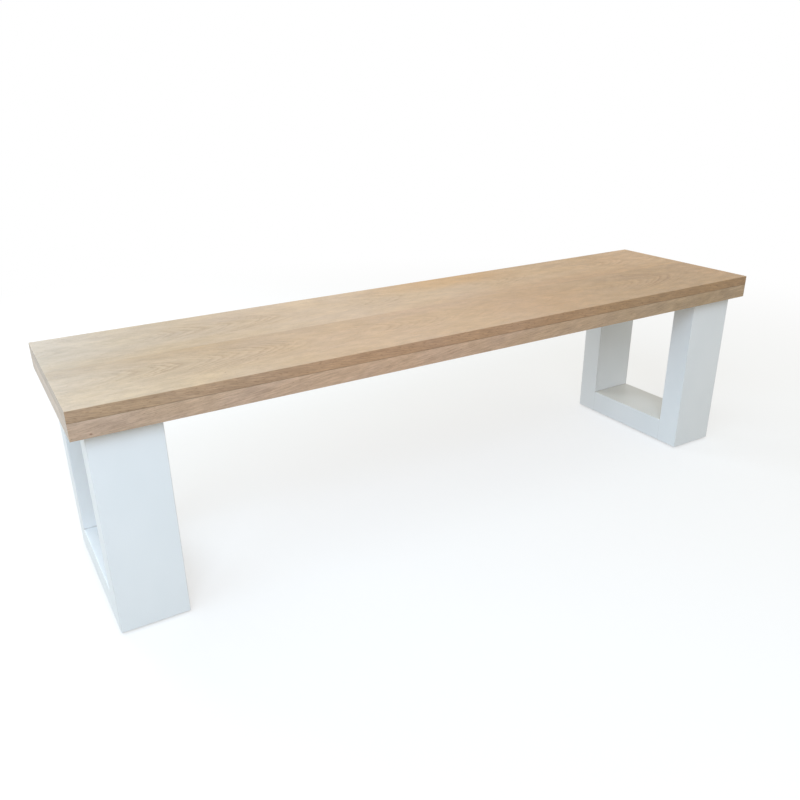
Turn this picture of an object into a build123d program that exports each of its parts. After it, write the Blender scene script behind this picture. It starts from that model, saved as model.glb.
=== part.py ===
# Oak bench on two painted U-shaped leg frames. All lengths are in millimetres.
# X runs along the bench, Y from its front to its back, and Z up.
# The origin is on the floor, below the middle of the seat.
import os

from build123d import *

# Seat boards, and the strips below them that thicken their edges
seat_length = 1500.0
seat_depth = 380.0
board_thickness = 20.0
strip_thickness = 28.0
edge_strip_width = 70.0
end_strip_width = 160.0
batten_width = 90.0
seat_arris = 0.7

# Leg frames
leg_height = 368.0
leg_width = 118.0
member_thickness = 55.0
top_rail_thickness = 25.0
leg_end_inset = 22.0
leg_edge_inset = 22.0
leg_arris = 1.2

# Felt pads under the posts
pad_thickness = 4.0
pad_margin = 10.0
pad_corner = 8.0

# Dowels in the seam of the two boards
board_dowel_radius = 4.0
board_dowel_length = 50.0
board_dowel_strip_margin = 60.0
board_dowel_count = 6

# Dowels between rails and posts
rail_dowel_radius = 5.0
rail_dowel_length = 60.0
rail_dowel_edge_margin = 29.0
dowels_per_joint = 2

# What every dowel and its hole share
dowel_chamfer = 1.0
glue_gap = 0.1
hole_end_gap = 1.5

# Countersunk screws through the cross pieces into the boards
screw_radius = 2.25
screw_head_radius = 4.4
screw_bite = 11.0
screw_point = 4.0
screw_edge_margin = 22.0
screw_gap = 0.1
screws_per_cross_piece = 4
screw_recess_length = 4.6
screw_recess_width = 1.1
screw_recess_depth = 1.8

# Bolts that hold each leg frame to the seat
bolt_radius = 4.0
bolt_head_radius = 7.0
bolt_head_height = 4.4
bolt_head_dome_share = 0.7
bolt_socket_across_corners = 5.8
bolt_socket_depth = 2.6
bolt_engagement = 13.0
bolt_tip_chamfer = 1.0
bolt_side_margin = 29.0
bolt_post_margin = 53.0
bolt_hole_clearance = 0.5
washer_radius = 12.0
washer_thickness = 2.0
washer_bore_clearance = 0.3

# Threaded inserts in the end strips
insert_radius = 6.0
insert_length = 20.0
insert_gap = 0.1
thread_gap = 0.1

# How far every cut runs past the face it starts from
overrun = 5.0

# Heights above the floor
leg_bottom = pad_thickness
leg_top = leg_bottom + leg_height
strip_bottom = leg_top
board_bottom = strip_bottom + strip_thickness

# Where the leg frames and their parts stand
leg_depth = seat_depth - 2 * leg_edge_inset
leg_offset = seat_length / 2 - leg_end_inset - leg_width / 2
post_offset = leg_depth / 2 - member_thickness / 2
rail_span = leg_depth - 2 * member_thickness
rail_top = leg_bottom + member_thickness
top_rail_bottom = leg_top - top_rail_thickness

# Where the seat's strips lie
cross_span = seat_depth - 2 * edge_strip_width
end_strip_offset = seat_length / 2 - end_strip_width / 2
screw_length = strip_thickness + screw_bite
bolt_length = washer_thickness + top_rail_thickness + bolt_engagement

SIDES = {"left": -1, "right": 1}


def block(length, depth, height, x, y, bottom):
    """A box centred on x and y, standing on the height bottom."""
    return Pos(x, y, bottom + height / 2) * Box(length, depth, height)


def evenly(count, first, last):
    """So many places, spread evenly from the first to the last."""
    if count == 1:
        return [(first + last) / 2]
    return [first + (last - first) * step / (count - 1) for step in range(count)]


def upright(radius, height, x, y, bottom):
    """A cylinder along Z."""
    return Pos(x, y, bottom + height / 2) * Cylinder(radius, height)


def dowel(radius, length, centre):
    """A chamfered dowel along Y."""
    peg = Cylinder(radius, length)
    peg = chamfer(peg.edges().filter_by(GeomType.CIRCLE), dowel_chamfer)
    return Pos(*centre) * Rot(X=90) * peg


def dowel_hole(radius, length, centre):
    """The space that a dowel takes, with its glue gap and room past both ends."""
    return Pos(*centre) * Rot(X=90) * Cylinder(radius + glue_gap, length + 2 * hole_end_gap)


# Seat

def board_dowel_places():
    """The middles of the dowels along the seam of the two boards."""
    reach = seat_length / 2 - end_strip_width - board_dowel_strip_margin
    height = board_bottom + board_thickness / 2
    return [(x, 0, height) for x in evenly(board_dowel_count, -reach, reach)]


def board_dowels():
    """The dowels that line up and hold the two seat boards."""
    return [dowel(board_dowel_radius, board_dowel_length, p) for p in board_dowel_places()]


def seat_layer(thickness, bottom):
    """One whole layer of the seat, with its outer edges eased."""
    layer = block(seat_length, seat_depth, thickness, 0, 0, bottom)
    return fillet(layer.edges(), seat_arris)


def screw_places(centre_x):
    """Where the screws of one cross piece go."""
    reach = cross_span / 2 - screw_edge_margin
    return [(centre_x, y) for y in evenly(screws_per_cross_piece, -reach, reach)]


def cross_piece_offsets():
    """The middles of the cross pieces along the bench."""
    return [-end_strip_offset, 0, end_strip_offset]


def screw_hole(x, y):
    """The hole and countersink for one screw, from the strip's face into the board."""
    radius = screw_radius + screw_gap
    head = screw_head_radius + screw_gap
    shank = upright(radius, screw_length + hole_end_gap, x, y, strip_bottom)
    sink = Pos(x, y, strip_bottom) * Cone(
        head, radius, head - radius, align=(Align.CENTER, Align.CENTER, Align.MIN)
    )
    return shank + sink


def screw(x, y):
    """A countersunk screw with a cross recess, its head flush with the strip."""
    up = (Align.CENTER, Align.CENTER, Align.MIN)
    head_height = screw_head_radius - screw_radius
    head = Cone(screw_head_radius, screw_radius, head_height, align=up)
    shank = Cylinder(screw_radius, screw_length - screw_point, align=up)
    point = Pos(0, 0, screw_length - screw_point) * Cone(screw_radius, 0, screw_point, align=up)
    whole = head + shank + point
    for turn in (0, 90):
        slot = Rot(Z=turn) * Box(screw_recess_length, screw_recess_width, 2 * screw_recess_depth)
        whole -= slot
    return Pos(x, y, strip_bottom) * whole


def screws(offsets):
    """The screws of the cross pieces at these offsets."""
    return [screw(x, y) for offset in offsets for x, y in screw_places(offset)]


def seat_board(side):
    """One of the two boards: side is -1 for the front and 1 for the back."""
    layer = seat_layer(board_thickness, board_bottom)
    half = block(
        seat_length + overrun, seat_depth / 2, board_thickness + overrun,
        0, side * seat_depth / 4, board_bottom - overrun / 2,
    )
    board = layer & half
    for place in board_dowel_places():
        board -= dowel_hole(board_dowel_radius, board_dowel_length, place)
    for offset in cross_piece_offsets():
        for x, y in screw_places(offset):
            if y * side > 0:
                board -= screw_hole(x, y)
    return board


def edge_strip(side):
    """The long strip under one edge: side is -1 for the front and 1 for the back."""
    layer = seat_layer(strip_thickness, strip_bottom)
    y = side * (seat_depth / 2 - edge_strip_width / 2)
    zone = block(
        seat_length + overrun, edge_strip_width, strip_thickness + overrun,
        0, y, strip_bottom - overrun / 2,
    )
    return layer & zone


def end_strip(side):
    """The cross strip at one end, which takes the leg's bolts: side is -1 or 1."""
    layer = seat_layer(strip_thickness, strip_bottom)
    x = side * end_strip_offset
    zone = block(
        end_strip_width, cross_span, strip_thickness + overrun,
        x, 0, strip_bottom - overrun / 2,
    )
    strip = layer & zone
    for place in screw_places(x):
        strip -= screw_hole(*place)
    for place in bolt_places(side):
        strip -= upright(
            insert_radius + insert_gap, insert_length + hole_end_gap + overrun,
            *place, strip_bottom - overrun,
        )
    return strip


def centre_batten():
    """The cross batten under the middle of the boards."""
    batten = block(batten_width, cross_span, strip_thickness, 0, 0, strip_bottom)
    for place in screw_places(0):
        batten -= screw_hole(*place)
    return batten


# Leg frames

def leg_frame(side):
    """A whole leg frame with its opening, before it is divided into its members."""
    x = side * leg_offset
    outer = block(leg_width, leg_depth, leg_height, x, 0, leg_bottom)
    opening_height = top_rail_bottom - rail_top
    frame = outer - block(leg_width + overrun, rail_span, opening_height, x, 0, rail_top)
    return fillet(eased_edges(frame, x), leg_arris)


def eased_edges(frame, x):
    """Every outer edge of a leg frame but those at the seat and the opening's own corners."""
    on_side = leg_width / 2
    chosen = []
    for edge in frame.edges():
        middle = edge.center()
        at_side = abs(abs(middle.X - x) - on_side) < leg_arris
        at_bottom = abs(middle.Z - leg_bottom) < leg_arris
        at_top = abs(middle.Z - leg_top) < leg_arris
        if (at_side or at_bottom) and not at_top:
            chosen.append(edge)
    return chosen


def rail_dowel_heights():
    """The heights of the bottom and the top rail's dowels."""
    return [leg_bottom + member_thickness / 2, leg_top - top_rail_thickness / 2]


def rail_dowel_places(side, heights):
    """The middles of the dowels at both ends of the rails at these heights."""
    reach = leg_width / 2 - rail_dowel_edge_margin
    return [
        (side * leg_offset + x, y, z)
        for z in heights
        for y in (-rail_span / 2, rail_span / 2)
        for x in evenly(dowels_per_joint, -reach, reach)
    ]


def leg_dowels(side):
    """All the dowels of one leg frame."""
    places = rail_dowel_places(side, rail_dowel_heights())
    return [dowel(rail_dowel_radius, rail_dowel_length, p) for p in places]


def leg_member(side, depth, height, y, bottom):
    """What a leg frame has in the box of one of its members."""
    zone = block(leg_width + overrun, depth, height, side * leg_offset, y, bottom)
    return leg_frame(side) & zone


def leg_post(side, end):
    """A post with its dowel holes: end is -1 for the front and 1 for the back."""
    post = leg_member(side, member_thickness, leg_height, end * post_offset, leg_bottom)
    for place in rail_dowel_places(side, rail_dowel_heights()):
        if place[1] * end > 0:
            post -= dowel_hole(rail_dowel_radius, rail_dowel_length, place)
    return post


def bottom_rail(side):
    """The rail at the floor, between the posts."""
    rail = leg_member(side, rail_span, member_thickness, 0, leg_bottom)
    for place in rail_dowel_places(side, rail_dowel_heights()[:1]):
        rail -= dowel_hole(rail_dowel_radius, rail_dowel_length, place)
    return rail


def top_rail(side):
    """The thin rail under the seat, with its bolt holes."""
    rail = leg_member(side, rail_span, top_rail_thickness, 0, top_rail_bottom)
    for place in rail_dowel_places(side, rail_dowel_heights()[1:]):
        rail -= dowel_hole(rail_dowel_radius, rail_dowel_length, place)
    for place in bolt_places(side):
        rail -= upright(
            bolt_radius + bolt_hole_clearance, top_rail_thickness + 2 * overrun,
            *place, top_rail_bottom - overrun,
        )
    return rail


# Fasteners between the leg frames and the seat

def bolt_places(side):
    """Where the bolts of one leg frame go."""
    along = leg_width / 2 - bolt_side_margin
    across = rail_span / 2 - bolt_post_margin
    return [(side * leg_offset + x, y) for x in (-along, along) for y in (-across, across)]


def leg_bolt(x, y):
    """A button-head bolt with a hexagon socket, its head below the washer."""
    up = (Align.CENTER, Align.CENTER, Align.MIN)
    head_seat = top_rail_bottom - washer_thickness
    head = Pos(0, 0, -bolt_head_height) * Cylinder(bolt_head_radius, bolt_head_height, align=up)
    head = fillet(head.edges().group_by(Axis.Z)[0], bolt_head_height * bolt_head_dome_share)
    shank = Cylinder(bolt_radius, bolt_length, align=up)
    shank = chamfer(shank.edges().group_by(Axis.Z)[-1], bolt_tip_chamfer)
    socket = extrude(RegularPolygon(bolt_socket_across_corners / 2, 6), bolt_socket_depth)
    whole = head + shank - Pos(0, 0, -bolt_head_height) * socket
    return Pos(x, y, head_seat) * whole


def leg_washer(x, y):
    """A wide flat washer between a bolt's head and the top rail."""
    bottom = top_rail_bottom - washer_thickness
    disc = upright(washer_radius, washer_thickness, x, y, bottom)
    bore = bolt_radius + washer_bore_clearance
    return disc - upright(bore, washer_thickness + overrun, x, y, bottom - overrun / 2)


def leg_insert(x, y):
    """A threaded insert, flush with the underside of the end strip."""
    body = upright(insert_radius, insert_length, x, y, strip_bottom)
    bore = bolt_radius + thread_gap
    return body - upright(bore, insert_length + overrun, x, y, strip_bottom - overrun / 2)


def leg_pads(side):
    """The two felt pads of one leg frame, one under each post."""
    shape = RectangleRounded(
        leg_width - 2 * pad_margin, member_thickness - 2 * pad_margin, pad_corner
    )
    pad = extrude(shape, pad_thickness)
    return [Pos(side * leg_offset, end * post_offset, 0) * pad for end in (-1, 1)]


def write(name, shape):
    """Writes one sub-part, a single solid or a list of separate ones."""
    if isinstance(shape, list):
        shape = Compound(children=shape)
    export_step(shape, os.path.join("parts", name + ".step"))


def main():
    os.makedirs("parts", exist_ok=True)
    write("front_board", seat_board(-1))
    write("back_board", seat_board(1))
    write("board_dowels", board_dowels())
    write("front_edge_strip", edge_strip(-1))
    write("back_edge_strip", edge_strip(1))
    write("centre_batten", centre_batten())
    write("batten_screws", screws([0]))
    write("end_strip_screws", screws([-end_strip_offset, end_strip_offset]))
    for name, side in SIDES.items():
        write(name + "_end_strip", end_strip(side))
        write(name + "_leg_front_post", leg_post(side, -1))
        write(name + "_leg_back_post", leg_post(side, 1))
        write(name + "_leg_bottom_rail", bottom_rail(side))
        write(name + "_leg_top_rail", top_rail(side))
        write(name + "_leg_dowels", leg_dowels(side))
        write(name + "_leg_bolts", [leg_bolt(*place) for place in bolt_places(side)])
        write(name + "_leg_washers", [leg_washer(*place) for place in bolt_places(side)])
        write(name + "_leg_inserts", [leg_insert(*place) for place in bolt_places(side)])
        write(name + "_leg_pads", leg_pads(side))


main()
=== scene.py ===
import math

import bmesh
import bpy
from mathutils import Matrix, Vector

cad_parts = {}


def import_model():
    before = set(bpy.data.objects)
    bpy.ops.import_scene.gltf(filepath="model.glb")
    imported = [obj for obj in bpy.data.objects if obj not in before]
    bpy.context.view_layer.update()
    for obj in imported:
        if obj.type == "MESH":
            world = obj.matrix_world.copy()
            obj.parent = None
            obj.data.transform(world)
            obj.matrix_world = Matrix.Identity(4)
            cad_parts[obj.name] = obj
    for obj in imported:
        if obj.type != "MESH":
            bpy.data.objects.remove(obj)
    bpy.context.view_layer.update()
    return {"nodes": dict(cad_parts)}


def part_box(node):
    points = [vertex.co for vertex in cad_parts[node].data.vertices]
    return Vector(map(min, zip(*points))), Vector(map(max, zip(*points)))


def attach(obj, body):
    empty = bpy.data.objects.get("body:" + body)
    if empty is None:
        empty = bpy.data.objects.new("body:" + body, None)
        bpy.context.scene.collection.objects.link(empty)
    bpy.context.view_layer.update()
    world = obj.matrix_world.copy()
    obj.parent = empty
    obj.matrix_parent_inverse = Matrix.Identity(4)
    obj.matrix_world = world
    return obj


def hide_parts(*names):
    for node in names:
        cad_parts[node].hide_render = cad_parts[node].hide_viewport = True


# A long oak bench on two white painted leg frames. Lengths are in metres and angles in degrees.
# X runs along the bench, Y from its front to its back, and Z up from the floor.
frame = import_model()

SIDES = ("left", "right")
LEG_MEMBERS = ("front_post", "back_post", "bottom_rail", "top_rail")
ALONG, ACROSS, UP = 0, 1, 2

# How the pieces are worked
SEAT_ARRIS = 0.0007
LEG_ARRIS = 0.0012
ARRIS_STEPS = 3
SEAM_CHAMFER = 0.0002
JOINT_CHAMFER = 0.0003
SAW_PLAY = 0.00001
SAW_PRECISION = 0.000001
SHARP_ANGLE = 45
SMOOTH_ANGLE = 40
NEAR = 0.0001

# Bolt holes in the top rails
WASHER_RADIUS = 0.012
BOLT_BORE_RADIUS = 0.0045
BORE_LENGTH = 0.080
BORE_SIDES = 48

# Felt pads
PAD_CORNER = 0.008
PAD_CORNER_STEPS = 6
PAD_EDGE = 0.0007
PAD_EDGE_STEPS = 3

# Patterns. Each has its bumps to a metre along X, Y and Z, its detail and its roughness. The growth's bumps
# are to a ring, and the rays' are to a metre along the trunk, to a metre outwards and to a radian round it.
OAK_DRIFT = ((2.6, 9.0, 9.0), 2.0, 0.5)
OAK_RIPPLE = ((40.0, 150.0, 150.0), 3.0, 0.65)
OAK_GROWTH = ((0.31, 1.0, 1.0), 1.0, 0.5)
OAK_PATCHES = ((8.0, 30.0, 30.0), 2.0, 0.5)
OAK_PORES = ((170.0, 2600.0, 2600.0), 1.0, 0.5)
OAK_RAYS = ((110.0, 260.0, 150.0), 1.0, 0.5)
OAK_FIBRES = ((34.0, 500.0, 500.0), 3.0, 0.62)
OAK_CLOUDS = ((22.0, 48.0, 48.0), 4.0, 0.6)
OAK_HUES = ((8.0, 17.0, 17.0), 3.0, 0.5)
KNOT_RAGS = ((900.0, 900.0, 900.0), 2.0, 0.5)
RUB_PATCHES = ((60.0, 60.0, 60.0), 3.0, 0.5)
PAINT_STIPPLE = ((420.0, 420.0, 420.0), 2.0, 0.5)
PAINT_BRUSH = ((260.0, 260.0, 9.0), 2.0, 0.5)
PAINT_CLOUDS = ((11.0, 11.0, 7.0), 2.0, 0.5)
ZINC_SPANGLE = ((900.0, 900.0, 900.0), 2.0, 0.5)
ZINC_SMEARS = ((140.0, 140.0, 140.0), 3.0, 0.5)
BEECH_FLECKS = ((1500.0, 220.0, 1500.0), 1.0, 0.5)
BEECH_STREAKS = ((420.0, 14.0, 420.0), 3.0, 0.5)
FELT_SWIRL = ((160.0, 160.0, 160.0), 1.0, 0.5)
FELT_LYING = ((900.0, 3200.0, 2400.0), 2.0, 0.5)
FELT_CROSSING = ((3200.0, 900.0, 2400.0), 2.0, 0.5)

# The middle of a pattern's values, and ranges of them that are stretched to a full step
PATTERN_MIDDLE = 0.5
MIDDLE_RANGE = (0.3, 0.7)
WIDE_RANGE = (0.2, 0.8)

# Oak grain. Rings wander and ripple by these lengths, and the crease draws them to a point over the heart.
# The pores have one share between the rings and one on them, and the shift keeps hues apart from clouds.
RING_WIDTH = 0.0020
RING_WANDER = 0.006
RING_RIPPLE = 0.0026
RING_CREASE = 0.05
GROWTH_SWING = 2.2
EARLY_WOOD = ((0.0, 0.7), (0.12, 1.0), (0.45, 0.4), (0.72, 0.06), (0.92, 0.05), (1.0, 0.7))
YEAR_STRENGTHS = (0.35, 1.0)
PATCH_RANGE = (0.40, 0.65)
PORE_RANGE = (0.58, 0.70)
PORE_RING_RANGE = (0.0, 0.8)
PORE_SHARES = (0.16, 1.0)
RAY_RANGE = (0.62, 0.72)
HUE_SHIFT = (0.4625, 0.0765, 0.4765)

# Knots. The stretch is along the grain, and the ranges are in radii.
KNOT_RADIUS = 0.002
CORE_STRETCH = (0.75, 1.0, 1.0)
CORE_RAGGEDNESS = 0.7
CORE_RANGE = (0.7, 1.5)
EYE_STRETCH = (0.35, 1.0, 1.0)
EYE_RANGE = (0.5, 5.0)
KNOT_LIFT = 0.002

# Rubbed arrises
RUBBED_HALF_SIZE = (0.1, 0.1, 0.1)
RUB_REACH = 0.003
RUB_REACH_SHARES = (0.4, 1.4)

# Oak tones towards the left, in the middle and towards the right, at these shares of the seat's length.
# They are partly the wood's own tone and partly painted light: paler and cooler at the left, darker and
# warmer at the right.
TONE_SHARES = (0.05, 0.38, 0.88)
FRONT_BOARD_TONES = ((0.535, 0.407, 0.270, 1.0), (0.585, 0.401, 0.253, 1.0), (0.485, 0.315, 0.169, 1.0))
BACK_BOARD_TONES = ((0.530, 0.415, 0.290, 1.0), (0.622, 0.456, 0.310, 1.0), (0.568, 0.374, 0.206, 1.0))
STRIP_TONES = ((0.56, 0.425, 0.31, 1.0), (0.61, 0.435, 0.305, 1.0), (0.50, 0.378, 0.248, 1.0))

# What these tones are multiplied by on long edges, at the left and at the right, and on ends. The darker
# long edges are painted shade on the upright faces, more at the left, and the paler, bluer ends are a
# painted cool reflection.
BOARD_EDGE_PAINTED_SHADE = ((0.825, 0.735, 0.70, 1.0), (0.855, 0.82, 0.79, 1.0))
BOARD_END_PAINTED_REFLECTION = (0.985, 1.08, 1.125, 1.0)
STRIP_EDGE_PAINTED_SHADE = ((0.945, 0.89, 0.875, 1.0), (0.93, 0.875, 0.83, 1.0))
STRIP_END_PAINTED_REFLECTION = (0.99, 1.035, 1.04, 1.0)
EDGE_SHADE_FADE_SHARES = (0.40, 0.85)

# How light a piece is at each share of the seat's depth, from the front. It counts less towards the right.
FRONT_BOARD_SWEEP = ((0.0, 1.03), (0.25, 1.02), (0.49, 0.955), (0.52, 0.955))
BACK_BOARD_SWEEP = ((0.48, 1.02), (0.55, 1.015), (0.75, 0.99), (1.0, 1.05))
EVEN_SWEEP = ((0.0, 1.0), (1.0, 1.0))
SWEEP_FADE_SHARES = (0.45, 0.80)

# Soft oval tints on the boards, each with a middle and a reach in X and Y, and a colour to multiply by.
# They fade out between two shares of their reach.
SEAM_TINT = ((-0.57, 0.0), (0.24, 0.06), (0.97, 0.925, 0.85, 1.0))
FRONT_SEAM_TINT = ((-0.03, 0.0), (0.16, 0.055), (1.07, 1.06, 1.08, 1.0))
BACK_SEAM_TINT = ((0.28, 0.0), (0.50, 0.058), (0.935, 0.885, 0.85, 1.0))
FRONT_MIDDLE_TINT = ((0.20, -0.09), (0.20, 0.14), (1.0, 0.96, 0.93, 1.0))
FRONT_CORNER_TINT = ((-0.60, -0.160), (0.14, 0.04), (1.07, 1.07, 1.06, 1.0))
BACK_CORNER_TINT = ((-0.76, 0.06), (0.12, 0.20), (0.89, 0.88, 0.85, 1.0))
BACK_EDGE_TINT = ((0.13, 0.165), (0.24, 0.07), (1.0, 0.89, 0.71, 1.0))
BACK_RIGHT_TINT = ((0.70, 0.12), (0.15, 0.09), (1.075, 1.07, 1.09, 1.0))
RIGHT_END_TINT = ((0.76, -0.09), (0.09, 0.12), (1.09, 1.06, 1.05, 1.0))
TINT_FADE_SHARES = (0.2, 1.2)

# How each piece lay in its tree. The heart is where the tree's middle ran, and the lean is the slope of the
# grain. A figure has its middle and reach along the bench and its depth. A knot has its centre and radius.
PLAIN_TIMBER = {
    "lean": 4.0,
    "grain_along": ALONG,
    "ring_depth": 0.6,
    "fleck_depth": 0.5,
    "sweep": EVEN_SWEEP,
    "figures": (),
    "tints": (),
    "knots": (),
}
FRONT_BOARD_TIMBER = {
    **PLAIN_TIMBER,
    "heart": (-0.5, -0.078, 0.262),
    "lean": 5.0,
    "fleck_depth": 0.85,
    "sweep": FRONT_BOARD_SWEEP,
    "figures": ((-0.50, 0.17, 1.25), (-0.10, 0.09, 1.0), (0.52, 0.13, 1.6)),
    "tints": (
        SEAM_TINT, FRONT_SEAM_TINT, FRONT_MIDDLE_TINT, FRONT_CORNER_TINT, BACK_CORNER_TINT, RIGHT_END_TINT),
    "knots": (((-0.432, -0.123, 0.420), 0.0018), ((-0.500, -0.157, 0.420), 0.0014)),
}
BACK_BOARD_TIMBER = {
    **PLAIN_TIMBER,
    "heart": (-0.5, 0.102, 0.250),
    "lean": 4.5,
    "fleck_depth": 0.85,
    "sweep": BACK_BOARD_SWEEP,
    "figures": ((-0.41, 0.15, 1.1), (-0.08, 0.08, 0.9), (0.25, 0.08, 0.9), (0.60, 0.05, 1.3)),
    "tints": (SEAM_TINT, BACK_SEAM_TINT, BACK_EDGE_TINT, BACK_RIGHT_TINT, BACK_CORNER_TINT),
}
FRONT_STRIP_TIMBER = {
    **PLAIN_TIMBER,
    "heart": (-0.75, -0.150, 0.330),
    "lean": -6.5,
    "ring_depth": 0.4,
    "knots": (((-0.7196, -0.190, 0.3776), 0.0020),),
}
BACK_STRIP_TIMBER = {**PLAIN_TIMBER, "heart": (-0.75, 0.240, 0.420), "lean": 2.5}
CROSS_HEARTS = {
    "left_end_strip": (-0.66, 0.0, 0.33),
    "right_end_strip": (0.70, 0.0, 0.45),
    "centre_batten": (0.02, 0.0, 0.31),
}

# How much of each oak pattern shows, and its tint or tone. The clouds change with the share of the seat's
# length, and a gain is what upright faces show more.
CLOUD_SWEEP = ((0.0, 0.75), (0.30, 0.55), (0.60, 0.55), (1.0, 1.0))
CLOUD_TINTS = ((1.10, 1.10, 1.105, 1.0), (0.88, 0.865, 0.845, 1.0))
HUE_TINTS = ((1.015, 1.0, 0.96, 1.0), (0.985, 0.99, 1.025, 1.0))
FIBRE_RANGE = (0.25, 0.75)
FIBRE_SWING = (-0.11, 0.10)
FIBRE_GAIN = 0.7
FIGURE_WIDTH = 0.0714
FIGURE_FADE_SHARES = (0.5, 1.3)
PATCH_DEPTH = 0.45
UPRIGHT_RING_DEPTH = 0.9
RING_TINT = (0.74, 0.66, 0.60, 1.0)
FLAT_FLECK_DEPTH = 0.15
FLECK_TINT = (0.76, 0.72, 0.67, 1.0)
PORE_DEPTH = 0.45
PORE_GAIN = 0.25
PORE_TONE = (0.18, 0.105, 0.055, 1.0)
END_GRAIN_DEPTH = 0.25
END_GRAIN_TONE = (0.36, 0.25, 0.15, 1.0)
# Paler arrises: partly rubbed wear and partly a painted highlight.
RUBBED_AND_LIT_OAK_DEPTH = 0.06
RUBBED_AND_LIT_OAK_TONE = (0.66, 0.52, 0.37, 1.0)
CORE_DEPTH = 0.7
CORE_TONE = (0.22, 0.10, 0.06, 1.0)

# The dark line along the joint of the seat's two layers, and a light line just under it, which is a painted
# highlight on the top arris of the strips. Each has its height over the joint, the distances from it where
# it starts and stops fading, its amount and its tint.
JOINT_LINES = (
    (0.0007, 0.0005, 0.0016, 0.6, (0.60, 0.58, 0.56, 1.0)),
    (-0.0030, 0.0012, 0.0042, 0.7, (1.10, 1.10, 1.10, 1.0)),
)

# Oak's roughness, and how far its pores, fibres and rings stand out, in shares of its whole relief
OAK_ROUGHNESS = (0.46, 0.56)
PORE_ROUGHNESS = 0.2
END_ROUGHNESS = -0.20
PORE_RELIEF = 0.8
FIBRE_RELIEF = 0.25
RING_RELIEF = -0.10
OAK_RELIEF = 0.00012

# Ranges of a face's normal where it stops being upright, and where it comes to look along an axis
UPRIGHT_RANGE = (0.4, 0.8)
FACING_RANGE = (0.6, 0.9)

# White paint. Where it is thin on its arrises, dark in its joints, and darker in the inner corners of its
# opening with painted shade and some dirt, it has a reach, an amount and a tone. Arrises that get none of
# this are put out of reach, this many half sizes away.
OUT_OF_REACH = 2
PAINT_TONES = ((0.845, 0.865, 0.885, 1.0), (0.82, 0.845, 0.865, 1.0))
PAINT_ARRIS = (0.0022, 0.35, (0.68, 0.67, 0.63, 1.0))
PAINT_JOINT = (0.0014, 0.18, (0.48, 0.48, 0.47, 1.0))
PAINT_CORNER_SHADE = (0.0030, 0.50, (0.46, 0.43, 0.39, 1.0))
PAINT_ROUGHNESS = (0.34, 0.44)
BRUSH_RELIEF = 0.5
PAINT_RELIEF = 0.00006

# What the paint is multiplied by on faces that look up, a painted warm shade of light thrown back from the
# oak, and each leg's share of it: only the right leg gets it.
WARM_SHADE_TINT = (0.90, 0.865, 0.79, 1.0)
WARM_SHADE_SHARES = {"left": 0.0, "right": 1.0}

# Zinc, beech and felt
ZINC_TONES = ((0.62, 0.64, 0.66, 1.0), (0.74, 0.75, 0.75, 1.0))
SMEAR_RANGE = (0.55, 0.75)
SMEAR_DEPTH = 0.35
SMEAR_TONE = (0.60, 0.56, 0.44, 1.0)
ZINC_ROUGHNESS = (0.22, 0.42)
ZINC_RELIEF = 0.00002
BEECH_TONES = ((0.62, 0.42, 0.27, 1.0), (0.52, 0.33, 0.20, 1.0))
BEECH_FLECK_RANGE = (0.6, 0.7)
BEECH_FLECK_DEPTH = 0.6
BEECH_FLECK_TONE = (0.30, 0.16, 0.09, 1.0)
BEECH_ROUGHNESS = (0.55, 0.7)
BEECH_RELIEF = 0.00008
FELT_TANGLE = (0.004, 0.004, 0.004)
FELT_TONES = ((0.12, 0.116, 0.112, 1.0), (0.36, 0.35, 0.34, 1.0))
FELT_TONE_RANGE = (0.45, 0.75)
FELT_ROUGHNESS_RANGE = (0.4, 0.8)
FELT_ROUGHNESS = (0.9, 1.0)
FELT_SHEEN = 0.4
FELT_RELIEF = 0.0004

# The studio. The floor fades to white between two distances, from one share of it to the other. A lamp has
# its place, target, size, power and colour.
WHITE = (1.0, 1.0, 1.0, 1.0)
FLOOR_SIZE = 40.0
FLOOR_LIT_TONE = (0.45, 0.43, 0.39, 1.0)
FLOOR_SHOWN_TONE = (0.97, 0.97, 0.97, 1.0)
FLOOR_FADE_REACH = (1.0, 2.6)
FLOOR_FADE_SHARES = (0.55, 1.0)
SKY_TONE = (1.0, 0.955, 0.84, 1.0)
SKY_STRENGTH = 0.66
LAMPS = {
    "left_window": ((-3.0, -0.9, 2.5), (-0.2, 0.0, 0.2), 2.1, 30.0, (0.50, 0.78, 1.0)),
    "front_window": ((-1.2, -2.0, 2.0), (-0.2, 0.0, 0.3), 1.4, 42.5, (0.65, 0.80, 1.0)),
    "rear_window": ((-1.2, 2.3, 1.2), (-0.5, 0.0, 0.42), 1.6, 35.0, (0.72, 0.86, 1.0)),
}
CAMERA_PLACE = (-0.85099, -1.29419, 0.84137)
CAMERA_ANGLES = (66.3986, 0.7120, -30.8541)
CAMERA_LENS = 34.4748
CAMERA_SHIFT = (0.00282, 0.02277)


# Drawing node trees

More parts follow.
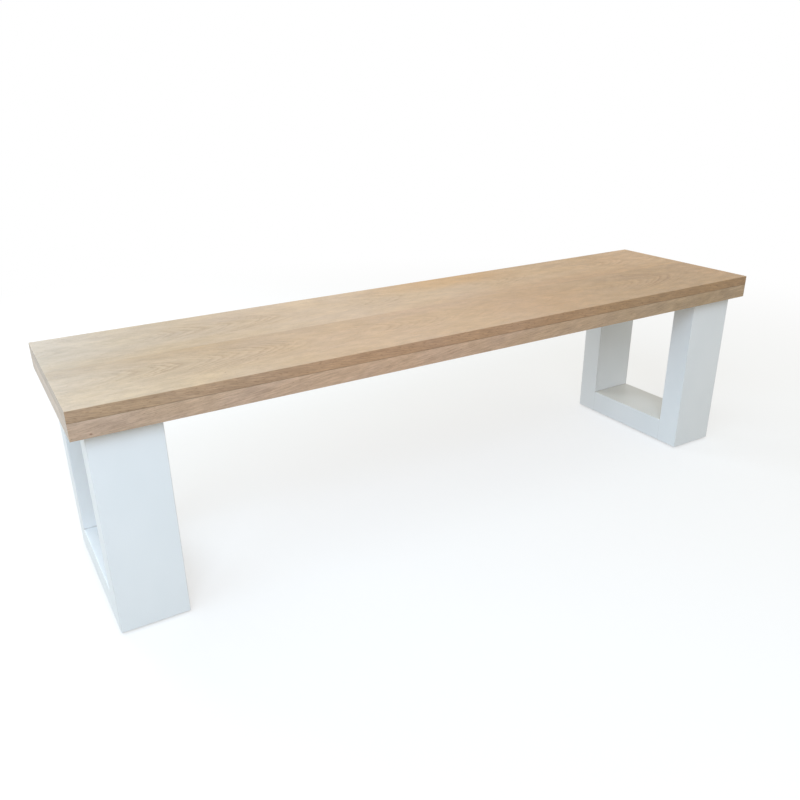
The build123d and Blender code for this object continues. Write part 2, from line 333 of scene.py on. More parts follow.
class Graph:
    """Draws a node tree. A value given to a socket may be a number, a colour or another socket."""

    def __init__(self, tree):
        self.tree = tree

    def feed(self, socket, value):
        """Links a socket to another one, or sets it to a plain value."""
        if isinstance(value, bpy.types.NodeSocket):
            self.tree.links.new(value, socket)
        else:
            socket.default_value = value

    def node(self, kind, sockets=None, **settings):
        """Adds a node, sets it up and feeds its sockets."""
        node = self.tree.nodes.new(kind)
        for name, value in settings.items():
            setattr(node, name, value)
        for socket, value in (sockets or {}).items():
            self.feed(node.inputs[socket], value)
        return node

    def math(self, operation, first, second=0.0, third=0.0):
        sockets = {0: first, 1: second, 2: third}
        return self.node("ShaderNodeMath", sockets, operation=operation).outputs[0]

    def vector(self, operation, first, second=(0, 0, 0)):
        sockets = {0: first, 1: second}
        return self.node("ShaderNodeVectorMath", sockets, operation=operation).outputs[0]

    def length(self, vector):
        node = self.node("ShaderNodeVectorMath", {0: vector}, operation="LENGTH")
        return node.outputs["Value"]

    def parts(self, vector):
        """The X, Y and Z of a vector."""
        return self.node("ShaderNodeSeparateXYZ", {0: vector}).outputs

    def joined(self, x, y, z):
        return self.node("ShaderNodeCombineXYZ", {0: x, 1: y, 2: z}).outputs[0]

    def pattern(self, place, bumps, detail, roughness):
        """Soft noise, in grey and in colour."""
        stretched = self.vector("MULTIPLY", place, bumps)
        sockets = {"Vector": stretched, "Scale": 1.0, "Detail": detail, "Roughness": roughness}
        return self.node("ShaderNodeTexNoise", sockets).outputs

    def grey_pattern(self, place, pattern):
        return self.pattern(place, *pattern)["Fac"]

    def step(self, value, low, high, start=0.0, end=1.0):
        """Runs smoothly from start to end while the value goes from low to high."""
        sockets = {"Value": value, "From Min": low, "From Max": high, "To Min": start, "To Max": end}
        node = self.node("ShaderNodeMapRange", sockets, interpolation_type="SMOOTHSTEP")
        return node.outputs["Result"]

    def ramp(self, value, stops):
        """A smooth colour ramp through stops of place and colour."""
        node = self.node("ShaderNodeValToRGB", {0: value})
        node.color_ramp.interpolation = "EASE"
        marks = node.color_ramp.elements
        while len(marks) < len(stops):
            marks.new(1.0)
        for mark, (place, colour) in zip(marks, stops):
            mark.position = place
            mark.color = colour
        return node.outputs["Color"]

    def grey_ramp(self, value, stops):
        return self.ramp(value, [(place, (grey, grey, grey, 1.0)) for place, grey in stops])

    def blend(self, amount, first, second, way="MIX"):
        """Goes from the first colour to the second by this amount."""
        sockets = {"Factor": amount, "A": first, "B": second}
        node = self.node("ShaderNodeMix", sockets, data_type="RGBA", blend_type=way)
        return node.outputs["Result"]

    def tint(self, amount, tone, colour):
        """Multiplies a tone by a colour by this amount."""
        return self.blend(amount, tone, colour, "MULTIPLY")

    def group(self, tree, sockets):
        """Places a shared effect and gives back its outputs."""
        return self.node("ShaderNodeGroup", sockets, node_tree=tree).outputs


def new_effect(name, takes, gives):
    """A shared effect: its tree, and the graph, inputs and output node to draw it with."""
    tree = bpy.data.node_groups.new(name, "ShaderNodeTree")
    for socket, value in takes.items():
        kind = "NodeSocketFloat" if isinstance(value, float) else "NodeSocketVector"
        made = tree.interface.new_socket(name=socket, in_out="INPUT", socket_type=kind)
        made.default_value = value
    for socket in gives:
        tree.interface.new_socket(name=socket, in_out="OUTPUT", socket_type="NodeSocketFloat")
    graph = Graph(tree)
    taken = graph.node("NodeGroupInput").outputs
    given = graph.node("NodeGroupOutput").inputs
    return tree, graph, taken, given


def new_material(name):
    """An empty material: its graph, its main shader and the place on the object."""
    material = bpy.data.materials.new(name)
    material.use_nodes = True
    graph = Graph(material.node_tree)
    shader = material.node_tree.nodes["Principled BSDF"]
    spot = graph.node("ShaderNodeTexCoord").outputs
    return material, graph, shader, spot


def finish_surface(graph, shader, tone, roughness, height, depth):
    """Gives a material its tone and roughness, and lets a height of 1 stand this far out."""
    graph.feed(shader.inputs["Base Color"], tone)
    graph.feed(shader.inputs["Roughness"], roughness)
    sockets = {"Strength": 1.0, "Distance": depth, "Height": height}
    graph.feed(shader.inputs["Normal"], graph.node("ShaderNodeBump", sockets).outputs[0])


# Shared effects

def year_rings(graph, place, outward, taken):
    """The rings of early wood, from 0 to 1, each year with its own width and strength."""
    ripple = graph.math("SUBTRACT", graph.grey_pattern(place, OAK_RIPPLE), PATTERN_MIDDLE)
    wavy = graph.math("MULTIPLY_ADD", ripple, taken["Ripple"], outward)
    years = graph.math("DIVIDE", wavy, taken["Ring Width"])
    growth = graph.grey_pattern(graph.joined(years, 0.0, 0.0), OAK_GROWTH)
    years = graph.math("MULTIPLY_ADD", growth, GROWTH_SWING, years)
    early_wood = graph.grey_ramp(graph.math("FRACT", years), EARLY_WOOD)
    sockets = {"W": graph.math("FLOOR", years)}
    year = graph.node("ShaderNodeTexWhiteNoise", sockets, noise_dimensions="1D").outputs["Value"]
    return graph.math("MULTIPLY", early_wood, graph.step(year, 0.0, 1.0, *YEAR_STRENGTHS))


def oak_grain():
    """Oak in the coordinates of its tree: X runs along the trunk, Y and Z out from its heart."""
    tree, graph, taken, given = new_effect(
        "oak_grain",
        {
            "Place": (0.0, 0.0, 0.0), "Ring Width": RING_WIDTH, "Wander": RING_WANDER,
            "Ripple": RING_RIPPLE, "Crease": RING_CREASE,
        },
        ("Rings", "Patches", "Pores", "Rays", "Fibres", "Clouds", "Hues"),
    )
    place = taken["Place"]

    drift = graph.pattern(place, *OAK_DRIFT)["Color"]
    drift = graph.vector("SUBTRACT", drift, (PATTERN_MIDDLE, PATTERN_MIDDLE, PATTERN_MIDDLE))
    reach = graph.joined(0.0, taken["Wander"], taken["Wander"])
    bent = graph.vector("ADD", place, graph.vector("MULTIPLY", drift, reach))
    outward = graph.length(graph.vector("MULTIPLY", bent, (0.0, 1.0, 1.0)))
    sideways = graph.math("ABSOLUTE", graph.parts(bent)[ACROSS])
    outward = graph.math("MULTIPLY_ADD", sideways, taken["Crease"], outward)

    rings = year_rings(graph, place, outward, taken)
    pores = graph.step(graph.grey_pattern(place, OAK_PORES), *PORE_RANGE)
    shares = graph.step(rings, *PORE_RING_RANGE, *PORE_SHARES)
    x, y, z = graph.parts(place)
    fan = graph.joined(x, outward, graph.math("ARCTAN2", y, z))
    shifted = graph.vector("ADD", place, HUE_SHIFT)

    graph.feed(given["Rings"], rings)
    graph.feed(given["Patches"], graph.step(graph.grey_pattern(place, OAK_PATCHES), *PATCH_RANGE))
    graph.feed(given["Pores"], graph.math("MULTIPLY", pores, shares))
    graph.feed(given["Rays"], graph.step(graph.grey_pattern(fan, OAK_RAYS), *RAY_RANGE))
    graph.feed(given["Fibres"], graph.grey_pattern(place, OAK_FIBRES))
    graph.feed(given["Clouds"], graph.grey_pattern(place, OAK_CLOUDS))
    graph.feed(given["Hues"], graph.grey_pattern(shifted, OAK_HUES))
    return tree


def pin_knot():
    """A small knot: its dark core, and how far it pushes the rings round it aside."""
    tree, graph, taken, given = new_effect(
        "pin_knot",
        {"Place": (0.0, 0.0, 0.0), "Centre": (0.0, 0.0, 0.0), "Radius": KNOT_RADIUS},
        ("Core", "Push"),
    )
    away = graph.vector("SUBTRACT", taken["Place"], taken["Centre"])
    core = graph.length(graph.vector("MULTIPLY", away, CORE_STRETCH))
    core = graph.math("DIVIDE", core, taken["Radius"])
    rags = graph.math("MULTIPLY", graph.grey_pattern(taken["Place"], KNOT_RAGS), CORE_RAGGEDNESS)
    core = graph.math("ADD", core, rags)
    eye = graph.length(graph.vector("MULTIPLY", away, EYE_STRETCH))
    eye = graph.math("DIVIDE", eye, taken["Radius"])
    graph.feed(given["Core"], graph.step(core, *CORE_RANGE, 1.0, 0.0))
    graph.feed(given["Push"], graph.step(eye, *EYE_RANGE, 1.0, 0.0))
    return tree


def arris_rub():
    """How near a place is to an outer arris of a block: 1 on the arris and 0 past its reach."""
    tree, graph, taken, given = new_effect(
        "arris_rub",
        {
            "Place": (0.0, 0.0, 0.0), "Centre": (0.0, 0.0, 0.0), "Half Size": RUBBED_HALF_SIZE,
            "Reach": RUB_REACH,
        },
        ("Rub",),
    )
    away = graph.vector("ABSOLUTE", graph.vector("SUBTRACT", taken["Place"], taken["Centre"]))
    x, y, z = graph.parts(graph.vector("ABSOLUTE", graph.vector("SUBTRACT", away, taken["Half Size"])))
    nearer = graph.math("MINIMUM", x, y)
    farther = graph.math("MAXIMUM", x, y)
    second_nearest = graph.math("MAXIMUM", nearer, graph.math("MINIMUM", farther, z))
    shares = graph.step(graph.grey_pattern(taken["Place"], RUB_PATCHES), *MIDDLE_RANGE, *RUB_REACH_SHARES)
    reach = graph.math("MULTIPLY", taken["Reach"], shares)
    graph.feed(given["Rub"], graph.step(graph.math("DIVIDE", second_nearest, reach), 0.0, 1.0, 1.0, 0.0))
    return tree


def rolled_paint():
    """A rolled and brushed coat of satin paint."""
    tree, graph, taken, given = new_effect(
        "rolled_paint", {"Place": (0.0, 0.0, 0.0)}, ("Stipple", "Brush", "Cloud"),
    )
    graph.feed(given["Stipple"], graph.grey_pattern(taken["Place"], PAINT_STIPPLE))
    graph.feed(given["Brush"], graph.grey_pattern(taken["Place"], PAINT_BRUSH))
    graph.feed(given["Cloud"], graph.grey_pattern(taken["Place"], PAINT_CLOUDS))
    return tree


OAK_GRAIN = oak_grain()
PIN_KNOT = pin_knot()
ARRIS_RUB = arris_rub()
ROLLED_PAINT = rolled_paint()


# Sizes taken from the frame

def span(*nodes):
    """The lowest and highest corners of these CAD nodes together."""
    boxes = [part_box(node) for node in nodes]
    low = Vector([min(box[0][axis] for box in boxes) for axis in (ALONG, ACROSS, UP)])
    high = Vector([max(box[1][axis] for box in boxes) for axis in (ALONG, ACROSS, UP)])
    return low, high


def middle_and_half(low, high):
    """The middle and the half size of a box, for the arris effect."""
    return tuple((low + high) / 2), tuple((high - low) / 2)


BOARDS = span("front_board", "back_board")
STRIPS = span("front_edge_strip", "back_edge_strip")


# Oak, step by step

def past_knots(graph, place, knots):
    """The dark cores of the knots, and a place lifted so that the rings pass round them."""
    core, push = 0.0, 0.0
    for centre, radius in knots:
        knot = graph.group(PIN_KNOT, {"Place": place, "Centre": centre, "Radius": radius})
        core = graph.math("MAXIMUM", core, knot["Core"])
        push = graph.math("MAXIMUM", push, knot["Push"])
    lift = graph.joined(0.0, 0.0, graph.math("MULTIPLY", push, KNOT_LIFT))
    return core, graph.vector("ADD", place, lift)


def in_tree(graph, place, timber):
    """A place in the coordinates of the tree that the piece was cut from."""
    heading = math.pi / 2 if timber["grain_along"] == ACROSS else 0.0
    turn = (0.0, math.radians(timber["lean"]), heading)
    sockets = {"Vector": place, "Location": timber["heart"], "Rotation": turn}
    return graph.node("ShaderNodeMapping", sockets, vector_type="TEXTURE").outputs[0]


def share_of(graph, place, layer, axis):
    """How far a place lies from one side of a layer, at 0, to the other, at 1."""
    low, high = layer
    size = high[axis] - low[axis]
    return graph.math("MULTIPLY_ADD", graph.parts(place)[axis], 1.0 / size, -low[axis] / size)


def facing(graph, normal, axis, low, high, start=0.0, end=1.0):
    """Goes from start to end as faces turn to look along an axis, either way."""
    return graph.step(graph.math("ABSOLUTE", graph.parts(normal)[axis]), low, high, start, end)


def seat_tone_with_painted_light(graph, place, along, across, timber, tones):
    """The wood's tone, which changes along and across the seat. Its drift along the seat is partly the
    wood's own tone and partly painted light, paler and cooler at the left.
    """
    tone = graph.ramp(along, list(zip(TONE_SHARES, tones)))
    swept = graph.tint(1.0, tone, graph.grey_ramp(across, timber["sweep"]))
    tone = graph.blend(graph.step(along, *SWEEP_FADE_SHARES), swept, tone)
    for (x, y), (reach_x, reach_y), colour in timber["tints"]:
        away = graph.vector("SUBTRACT", place, (x, y, 0.0))
        away = graph.length(graph.vector("MULTIPLY", away, (1.0 / reach_x, 1.0 / reach_y, 0.0)))
        tone = graph.tint(graph.step(away, *TINT_FADE_SHARES, 1.0, 0.0), tone, colour)
    return tone


def mottled(graph, tone, grain, along, upright):
    """A tone with clouds, drifts of hue and fine fibres."""
    cloud = graph.blend(graph.step(grain["Clouds"], *MIDDLE_RANGE), *CLOUD_TINTS)
    tone = graph.tint(graph.grey_ramp(along, CLOUD_SWEEP), tone, cloud)
    hue = graph.blend(graph.step(grain["Hues"], *MIDDLE_RANGE), *HUE_TINTS)
    tone = graph.tint(1.0, tone, hue)
    fibre = graph.step(grain["Fibres"], *FIBRE_RANGE, *FIBRE_SWING)
    fibre = graph.math("MULTIPLY", fibre, graph.math("MULTIPLY_ADD", upright, FIBRE_GAIN, 1.0))
    return graph.tint(1.0, tone, graph.math("ADD", fibre, 1.0))


def cathedral_figure(graph, place, timber):
    """How far the cathedral figure stands out, over the heart and along the bench."""
    shown = 0.0
    for middle, reach, depth in timber["figures"]:
        away = graph.vector("SUBTRACT", place, (middle, timber["heart"][ACROSS], 0.0))
        away = graph.length(graph.vector("MULTIPLY", away, (1.0 / reach, 1.0 / FIGURE_WIDTH, 0.0)))
        shown = graph.math("MAXIMUM", shown, graph.step(away, *FIGURE_FADE_SHARES, depth, 0.0))
    return shown


def figured(graph, tone, place, grain, timber, upright):
    """A tone with year rings, ray flecks and pores."""
    shown = cathedral_figure(graph, place, timber)
    shown = graph.math("MAXIMUM", shown, graph.math("MULTIPLY", grain["Patches"], PATCH_DEPTH))
    shown = graph.math("MAXIMUM", shown, graph.math("MULTIPLY", upright, UPRIGHT_RING_DEPTH))
    rings = graph.math("MULTIPLY", grain["Rings"], timber["ring_depth"])
    tone = graph.tint(graph.math("MULTIPLY", rings, shown), tone, RING_TINT)
    depth = graph.math("MULTIPLY_ADD", upright, timber["fleck_depth"], FLAT_FLECK_DEPTH)
    tone = graph.tint(graph.math("MULTIPLY", grain["Rays"], depth), tone, FLECK_TINT)
    depth = graph.math("MULTIPLY_ADD", upright, PORE_GAIN, PORE_DEPTH)
    return graph.blend(graph.math("MULTIPLY", grain["Pores"], depth), tone, PORE_TONE)


def joint_lined(graph, tone, place, upright):
    """A tone with the dark line along the joint of the seat's two layers and the painted highlight just
    under it.
    """
    above = graph.math("SUBTRACT", graph.parts(place)[UP], BOARDS[0].z)
    for height, inner, outer, amount, colour in JOINT_LINES:
        away = graph.math("ABSOLUTE", graph.math("SUBTRACT", above, height))
        line = graph.math("MULTIPLY", graph.step(away, inner, outer, amount, 0.0), upright)
        tone = graph.tint(line, tone, colour)
    return tone


def oak(name, layer, timber, tones, edge_shades, end_reflection):
    """Oiled oak for a piece of the seat, cut from its tree as the timber says."""
    material, graph, shader, spot = new_material(name)
    place = spot["Object"]
    core, lifted = past_knots(graph, place, timber["knots"])
    grain = graph.group(OAK_GRAIN, {"Place": in_tree(graph, lifted, timber)})
    upright = facing(graph, spot["Normal"], UP, *UPRIGHT_RANGE, 1.0, 0.0)
    at_end = facing(graph, spot["Normal"], ALONG, *FACING_RANGE)
    end_grain = facing(graph, spot["Normal"], timber["grain_along"], *FACING_RANGE)
    centre, half = middle_and_half(*layer)
    rub = graph.group(ARRIS_RUB, {"Place": place, "Centre": centre, "Half Size": half})["Rub"]

    along = share_of(graph, place, layer, ALONG)
    across = share_of(graph, place, layer, ACROSS)
    tone = seat_tone_with_painted_light(graph, place, along, across, timber, tones)
    # Painted shade: upright faces are darkened, more at the left.
    edge_shade = graph.blend(graph.step(along, *EDGE_SHADE_FADE_SHARES), *edge_shades)
    tone = graph.tint(upright, tone, edge_shade)
    # Painted cool reflection: the end faces are made paler and bluer.
    tone = graph.tint(at_end, tone, end_reflection)
    tone = mottled(graph, tone, grain, along, upright)
    tone = figured(graph, tone, place, grain, timber, upright)
    tone = joint_lined(graph, tone, place, upright)
    tone = graph.blend(graph.math("MULTIPLY", end_grain, END_GRAIN_DEPTH), tone, END_GRAIN_TONE)
    # Arrises are made paler, partly as rubbed wear and partly as a painted highlight.
    tone = graph.blend(graph.math("MULTIPLY", rub, RUBBED_AND_LIT_OAK_DEPTH), tone, RUBBED_AND_LIT_OAK_TONE)
    tone = graph.blend(graph.math("MULTIPLY", core, CORE_DEPTH), tone, CORE_TONE)

    roughness = graph.step(grain["Fibres"], *WIDE_RANGE, *OAK_ROUGHNESS)
    roughness = graph.math("MULTIPLY_ADD", grain["Pores"], PORE_ROUGHNESS, roughness)
    roughness = graph.math("MULTIPLY_ADD", at_end, END_ROUGHNESS, roughness)
    height = graph.math("MULTIPLY_ADD", grain["Pores"], -PORE_RELIEF, PORE_RELIEF)
    height = graph.math("MULTIPLY_ADD", grain["Fibres"], FIBRE_RELIEF, height)
    height = graph.math("MULTIPLY_ADD", grain["Rings"], RING_RELIEF, height)
    finish_surface(graph, shader, tone, roughness, height, OAK_RELIEF)
    return material


# The other materials

def white_paint(name, outline, opening, warm_shade_share):
    """Satin white paint on a leg frame, thin on its arrises and dark in its joints, with painted shade and
    some dirt in its inner corners and a painted warm shade on faces that look up.
    """
    material, graph, shader, spot = new_material(name)
    place = spot["Object"]
    paint = graph.group(ROLLED_PAINT, {"Place": place})
    tone = graph.blend(graph.step(paint["Cloud"], *MIDDLE_RANGE), *PAINT_TONES)

    outer, outer_half = middle_and_half(*outline)
    inner, inner_half = middle_and_half(*opening)
    joints = (outer_half[ALONG], inner_half[ACROSS], OUT_OF_REACH * outer_half[UP])
    corners = (OUT_OF_REACH * outer_half[ALONG], inner_half[ACROSS], inner_half[UP])
    # The inner corners of the opening are darkened with painted shade and some dirt.
    for centre, half, (reach, amount, shade) in (
        (outer, outer_half, PAINT_ARRIS),
        (outer, joints, PAINT_JOINT),
        (inner, corners, PAINT_CORNER_SHADE),
    ):
        sockets = {"Place": place, "Centre": centre, "Half Size": half, "Reach": reach}
        near = graph.group(ARRIS_RUB, sockets)["Rub"]
        tone = graph.blend(graph.math("MULTIPLY", near, amount), tone, shade)
    # Painted warm shade on faces that look up, on the right leg only.
    warm_shaded = graph.step(graph.parts(spot["Normal"])[UP], *FACING_RANGE, 0.0, warm_shade_share)
    tone = graph.tint(warm_shaded, tone, WARM_SHADE_TINT)

    roughness = graph.step(paint["Cloud"], *WIDE_RANGE, *PAINT_ROUGHNESS)
    height = graph.math("MULTIPLY_ADD", paint["Brush"], BRUSH_RELIEF, paint["Stipple"])
    finish_surface(graph, shader, tone, roughness, height, PAINT_RELIEF)
    return material


def zinc_steel():
    """Bright zinc plate with a faint spangle and handling marks."""
    material, graph, shader, spot = new_material("zinc_plated_steel")
    spangle = graph.grey_pattern(spot["Object"], ZINC_SPANGLE)
    smear = graph.grey_pattern(spot["Object"], ZINC_SMEARS)
    tone = graph.blend(graph.step(spangle, *MIDDLE_RANGE), *ZINC_TONES)
    tone = graph.blend(graph.step(smear, *SMEAR_RANGE, 0.0, SMEAR_DEPTH), tone, SMEAR_TONE)
    roughness = graph.step(smear, *MIDDLE_RANGE, *ZINC_ROUGHNESS)
    finish_surface(graph, shader, tone, roughness, spangle, ZINC_RELIEF)
    shader.inputs["Metallic"].default_value = 1.0
    return material


def beech():
    """Bare beech with its short dark flecks, for the dowels, whose grain runs along Y."""
    material, graph, shader, spot = new_material("bare_beech")
    fleck = graph.grey_pattern(spot["Object"], BEECH_FLECKS)
    streak = graph.grey_pattern(spot["Object"], BEECH_STREAKS)
    tone = graph.blend(streak, *BEECH_TONES)
    amount = graph.step(fleck, *BEECH_FLECK_RANGE, 0.0, BEECH_FLECK_DEPTH)
    tone = graph.blend(amount, tone, BEECH_FLECK_TONE)
    roughness = graph.step(streak, *WIDE_RANGE, *BEECH_ROUGHNESS)
    finish_surface(graph, shader, tone, roughness, streak, BEECH_RELIEF)
    return material


def grey_felt():
    """Needled felt of mixed grey fibres."""
    material, graph, shader, spot = new_material("grey_needle_felt")
    swirl = graph.pattern(spot["Object"], *FELT_SWIRL)["Color"]
    tangled = graph.vector("ADD", spot["Object"], graph.vector("MULTIPLY", swirl, FELT_TANGLE))
    lying = graph.grey_pattern(tangled, FELT_LYING)
    crossing = graph.grey_pattern(tangled, FELT_CROSSING)
    fibres = graph.math("MAXIMUM", lying, crossing)
    tone = graph.blend(graph.step(fibres, *FELT_TONE_RANGE), *FELT_TONES)
    roughness = graph.step(fibres, *FELT_ROUGHNESS_RANGE, *FELT_ROUGHNESS)
    finish_surface(graph, shader, tone, roughness, fibres, FELT_RELIEF)
    shader.inputs["Sheen Weight"].default_value = FELT_SHEEN
    return material


# Working the pieces

def only(piece):
    """Selects this piece alone and makes it the active one."""
    bpy.ops.object.select_all(action="DESELECT")
    piece.select_set(True)
    bpy.context.view_layer.objects.active = piece


def block(name, low, high):
    """A block between two corners."""
    bpy.ops.object.select_all(action="DESELECT")
    bpy.ops.mesh.primitive_cube_add(size=1.0, location=(low + high) / 2)
    piece = bpy.context.object
    piece.name = name
    piece.scale = high - low
    bpy.ops.object.transform_apply(location=True, rotation=True, scale=True)
    return piece


def pick(piece, kind, wanted):
    """In edit mode, selects the edges or faces that pass the test."""
    bpy.ops.mesh.select_mode(type=kind)
    bpy.ops.mesh.select_all(action="DESELECT")
    form = bmesh.from_edit_mesh(piece.data)
    for element in form.edges if kind == "EDGE" else form.faces:
        element.select_set(wanted(element))
    bmesh.update_edit_mesh(piece.data)


def ease(piece, wanted, radius, steps):
    """Rounds the edges that pass the test."""
    only(piece)
    bpy.ops.object.mode_set(mode="EDIT")
    pick(piece, "EDGE", wanted)
    bpy.ops.mesh.bevel(offset=radius, segments=steps, affect="EDGES")
    bpy.ops.object.mode_set(mode="OBJECT")


def saw_cut(axis, place, waste):
    """A point on a saw cut, and the direction in which its waste lies."""
    spot, away = Vector(), Vector()
    spot[axis] = place
    away[axis] = waste
    return spot, away


def sawn(blank, name, cuts, chamfer):
    """A copy of a blank, sawn at each cut, its new edges chamfered.

    A cut has an axis, a place on it and the side that is kept: 1 past the place and -1 before it.
    """
    only(blank)
    bpy.ops.object.duplicate()
    piece = bpy.context.object
    piece.name = name
    bpy.ops.object.mode_set(mode="EDIT")
    for axis, place, kept in cuts:
        spot, away = saw_cut(axis, place, -kept)
        bpy.ops.mesh.select_all(action="SELECT")
        bpy.ops.mesh.bisect(plane_co=spot, plane_no=away, use_fill=True, clear_outer=True,
                            threshold=SAW_PRECISION)
        if chamfer:
            bpy.ops.mesh.bevel(offset=chamfer, segments=1, affect="EDGES")
    bpy.ops.mesh.select_all(action="SELECT")
    bpy.ops.mesh.remove_doubles(threshold=2 * SAW_PLAY)
    bpy.ops.object.mode_set(mode="OBJECT")
    return piece


def smoothed(piece):
    """Smooth shading over the eased edges, with the large faces kept flat."""
    only(piece)
    bpy.ops.object.shade_smooth_by_angle(angle=math.radians(SMOOTH_ANGLE))
    piece.modifiers.new("flat_faces", "WEIGHTED_NORMAL").keep_sharp = True
    bpy.ops.object.modifier_apply(modifier="flat_faces")
    return piece


def dress(piece, node, material):
    """Lets a finished piece stand for its CAD node."""
    piece.data.materials.clear()
    piece.data.materials.append(material)
    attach(piece, "root")
    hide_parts(node)


def coat(material, *nodes):
    """Gives CAD nodes, which keep their shape, a material."""
    for node in nodes:
        for slot in frame["nodes"][node].material_slots:
            slot.material = material


# The seat

def seat_boards():
    """The two seat boards, sawn from one eased layer along the seam."""
    blank = block("board_layer", *BOARDS)
    ease(blank, lambda edge: True, SEAT_ARRIS, ARRIS_STEPS)
    for name, kept, timber, tones in (
        ("front_board", -1, FRONT_BOARD_TIMBER, FRONT_BOARD_TONES),
        ("back_board", 1, BACK_BOARD_TIMBER, BACK_BOARD_TONES),
    ):
        material = oak(name + "_oak", BOARDS, timber, tones, BOARD_EDGE_PAINTED_SHADE, BOARD_END_PAINTED_REFLECTION)
        board = sawn(blank, name + "_planed", [(ACROSS, kept * SAW_PLAY, kept)], SEAM_CHAMFER)
        dress(smoothed(board), name, material)
    bpy.data.objects.remove(blank)


def edge_strips():
    """The long strips under the front and back edges."""
    blank = block("strip_layer", *STRIPS)
    ease(blank, lambda edge: True, SEAT_ARRIS, ARRIS_STEPS)
    for name, kept, timber, oak_name in (
        ("front_edge_strip", -1, FRONT_STRIP_TIMBER, "front_strip_oak"),
        ("back_edge_strip", 1, BACK_STRIP_TIMBER, "back_strip_oak"),
    ):
        material = oak(oak_name, STRIPS, timber, STRIP_TONES, STRIP_EDGE_PAINTED_SHADE, STRIP_END_PAINTED_REFLECTION)
        low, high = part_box(name)
        place = high.y if kept < 0 else low.y
        strip = sawn(blank, name + "_planed", [(ACROSS, place, kept)], SEAM_CHAMFER)
        dress(smoothed(strip), name, material)
    bpy.data.objects.remove(blank)


def cross_pieces():
    """The strips across both ends and the middle batten, whose grain runs from front to back."""
    for name, heart in CROSS_HEARTS.items():
        timber = {**PLAIN_TIMBER, "heart": heart, "grain_along": ACROSS}
        coat(oak(name + "_oak", STRIPS, timber, STRIP_TONES, STRIP_EDGE_PAINTED_SHADE, STRIP_END_PAINTED_REFLECTION), name)


# The leg frames

def cut_opening(blank, opening):
    """Cuts the opening through a leg blank, from its left side to its right."""
    low, high = opening
    only(blank)
    bpy.ops.object.mode_set(mode="EDIT")
    for axis in (ACROSS, UP):
        for place in (low[axis], high[axis]):
            spot, away = saw_cut(axis, place, 1.0)
            bpy.ops.mesh.select_all(action="SELECT")
            bpy.ops.mesh.bisect(plane_co=spot, plane_no=away)

    def in_opening(face):
        middle = face.calc_center_median()
        return low.y < middle.y < high.y and low.z < middle.z < high.z

    pick(blank, "FACE", in_opening)
    bpy.ops.mesh.delete(type="ONLY_FACE")
    bpy.ops.mesh.select_mode(type="EDGE")
    bpy.ops.mesh.select_non_manifold()
    bpy.ops.mesh.bridge_edge_loops()
    bpy.ops.mesh.select_all(action="SELECT")
    bpy.ops.mesh.normals_make_consistent(inside=False)
    bpy.ops.object.mode_set(mode="OBJECT")


def leg_blank(side_name):
    """A whole leg frame, all but its top edges eased, with its outline and its opening."""
    low, high = span(*[side_name + "_leg_" + member for member in LEG_MEMBERS])
    rail_low, rail_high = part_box(side_name + "_leg_bottom_rail")
    top_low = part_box(side_name + "_leg_top_rail")[0]
    opening = (Vector((low.x, rail_low.y, rail_high.z)), Vector((high.x, rail_high.y, top_low.z)))
    blank = block(side_name + "_leg_blank", low, high)
    cut_opening(blank, opening)

    def outer_arris(edge):
        at_top = all(abs(corner.co.z - high.z) < NEAR for corner in edge.verts)
        return edge.calc_face_angle() > math.radians(SHARP_ANGLE) and edge.is_convex and not at_top

    ease(blank, outer_arris, LEG_ARRIS, ARRIS_STEPS)
    return blank, (low, high), opening


def bolt_bores(rail, washers):
    """Bores the four bolt holes through a top rail, over the middles of its washers."""
    low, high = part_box(washers)
    cutters = []
    for x in (low.x + WASHER_RADIUS, high.x - WASHER_RADIUS):
        for y in (low.y + WASHER_RADIUS, high.y - WASHER_RADIUS):
            bpy.ops.mesh.primitive_cylinder_add(
                vertices=BORE_SIDES, radius=BOLT_BORE_RADIUS, depth=BORE_LENGTH, location=(x, y, high.z))
            cutters.append(bpy.context.object)
    bpy.ops.object.select_all(action="DESELECT")
    for cutter in cutters:
        cutter.select_set(True)
    bpy.ops.object.join()
    drill = bpy.context.object
    only(rail)
    bore = rail.modifiers.new("bolt_bores", "BOOLEAN")
    bore.object = drill
    bore.solver = "EXACT"
    bpy.ops.object.modifier_apply(modifier="bolt_bores")
    bpy.data.objects.remove(drill)


def leg_members(side_name):
    """The posts and rails of one leg frame, sawn from its blank."""
    blank, outline, opening = leg_blank(side_name)
    paint = white_paint(side_name + "_leg_paint", outline, opening, WARM_SHADE_SHARES[side_name])
    front_joint = opening[0].y + SAW_PLAY
    back_joint = opening[1].y - SAW_PLAY
    middle = (opening[0].z + opening[1].z) / 2
    between = [(ACROSS, front_joint, 1), (ACROSS, back_joint, -1)]
    for member, cuts, chamfer in (
        ("front_post", [(ACROSS, front_joint, -1)], 0),
        ("back_post", [(ACROSS, back_joint, 1)], 0),
        ("bottom_rail", [(UP, middle, -1)] + between, JOINT_CHAMFER),
        ("top_rail", [(UP, middle, 1)] + between, JOINT_CHAMFER),
    ):
        node = side_name + "_leg_" + member
        piece = sawn(blank, node + "_painted", cuts, chamfer)
        if member == "top_rail":
            bolt_bores(piece, side_name + "_leg_washers")
        dress(smoothed(piece), node, paint)
    bpy.data.objects.remove(blank)


def rise(edge):
    """How far an edge of a block rises from end to end."""
    return abs(edge.verts[0].co.z - edge.verts[1].co.z)


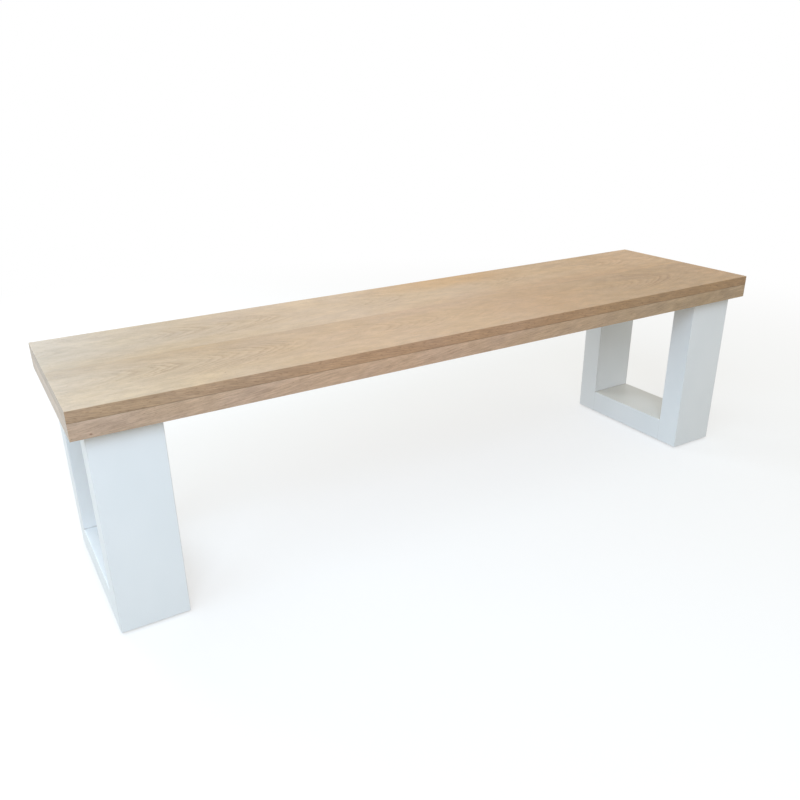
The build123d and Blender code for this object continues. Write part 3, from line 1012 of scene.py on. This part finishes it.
def felt_pads(side_name, felt):
    """The pads under one leg frame's posts, with soft edges."""
    node = side_name + "_leg_pads"
    low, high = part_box(node)
    post_low, post_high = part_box(side_name + "_leg_front_post")
    depth = 2 * ((post_low.y + post_high.y) / 2 - low.y)
    pads = []
    for start in (low.y, high.y - depth):
        corner = Vector((low.x, start, low.z))
        pad = block(node + "_felt", corner, Vector((high.x, start + depth, high.z)))
        ease(pad, lambda edge: rise(edge) > NEAR, PAD_CORNER, PAD_CORNER_STEPS)
        ease(pad, lambda edge: rise(edge) < NEAR, PAD_EDGE, PAD_EDGE_STEPS)
        pads.append(pad)
    only(pads[0])
    pads[1].select_set(True)
    bpy.ops.object.join()
    dress(smoothed(pads[0]), node, felt)


# The studio

def ray_mask(graph):
    """1 for rays that show the background to the eye, directly or in gloss and glass."""
    path = graph.node("ShaderNodeLightPath").outputs
    seen = graph.math("MAXIMUM", path["Is Camera Ray"], path["Is Glossy Ray"])
    return graph.math("MAXIMUM", seen, path["Is Transmission Ray"])


def floor():
    """A plain pale floor that turns white away from the bench and keeps its shadow."""
    bpy.ops.object.select_all(action="DESELECT")
    bpy.ops.mesh.primitive_plane_add(size=FLOOR_SIZE)
    ground = bpy.context.object
    ground.name = "studio_floor"
    material = bpy.data.materials.new("studio_floor")
    material.use_nodes = True
    graph = Graph(material.node_tree)
    graph.tree.nodes.remove(graph.tree.nodes["Principled BSDF"])
    place = graph.node("ShaderNodeTexCoord").outputs["Object"]
    lit = graph.node("ShaderNodeBsdfDiffuse", {"Color": FLOOR_LIT_TONE}).outputs[0]
    shown = graph.node("ShaderNodeBsdfDiffuse", {"Color": FLOOR_SHOWN_TONE}).outputs[0]
    white = graph.node("ShaderNodeEmission", {"Color": WHITE, "Strength": 1.0}).outputs[0]
    far = graph.step(graph.length(place), *FLOOR_FADE_REACH, *FLOOR_FADE_SHARES)
    seen = graph.node("ShaderNodeMixShader", {0: far, 1: shown, 2: white}).outputs[0]
    both = graph.node("ShaderNodeMixShader", {0: ray_mask(graph), 1: lit, 2: seen}).outputs[0]
    graph.feed(graph.tree.nodes["Material Output"].inputs["Surface"], both)
    ground.data.materials.append(material)


def world():
    """Even soft light from all round, and a white background."""
    sky = bpy.data.worlds.new("studio")
    bpy.context.scene.world = sky
    sky.use_nodes = True
    graph = Graph(sky.node_tree)
    graph.tree.nodes.remove(graph.tree.nodes["Background"])
    soft = graph.node("ShaderNodeBackground", {"Color": SKY_TONE, "Strength": SKY_STRENGTH}).outputs[0]
    white = graph.node("ShaderNodeBackground", {"Color": WHITE, "Strength": 1.0}).outputs[0]
    both = graph.node("ShaderNodeMixShader", {0: ray_mask(graph), 1: soft, 2: white}).outputs[0]
    graph.feed(graph.tree.nodes["World Output"].inputs["Surface"], both)


def lamp(name, place, target, size, power, colour):
    """A square soft lamp, aimed at a point."""
    bpy.ops.object.light_add(type="AREA", location=place)
    light = bpy.context.object
    light.name = name
    light.data.size = size
    light.data.energy = power
    light.data.color = colour
    light.rotation_euler = (Vector(target) - Vector(place)).to_track_quat("-Z", "Y").to_euler()


def camera():
    """The photograph's view."""
    angles = [math.radians(angle) for angle in CAMERA_ANGLES]
    bpy.ops.object.camera_add(location=CAMERA_PLACE, rotation=angles)
    eye = bpy.context.object
    eye.data.lens = CAMERA_LENS
    eye.data.shift_x, eye.data.shift_y = CAMERA_SHIFT
    bpy.context.scene.camera = eye


# The whole bench in its studio

camera()
seat_boards()
edge_strips()
cross_pieces()
steel = zinc_steel()
dowel_wood = beech()
felt = grey_felt()
coat(steel, "batten_screws", "end_strip_screws")
coat(dowel_wood, "board_dowels")
for side_name in SIDES:
    leg_members(side_name)
    felt_pads(side_name, felt)
    coat(steel, *[side_name + "_leg_" + item for item in ("bolts", "washers", "inserts")])
    coat(dowel_wood, side_name + "_leg_dowels")
floor()
world()
for name, settings in LAMPS.items():
    lamp(name, *settings)
bpy.context.scene.view_settings.view_transform = "Standard"
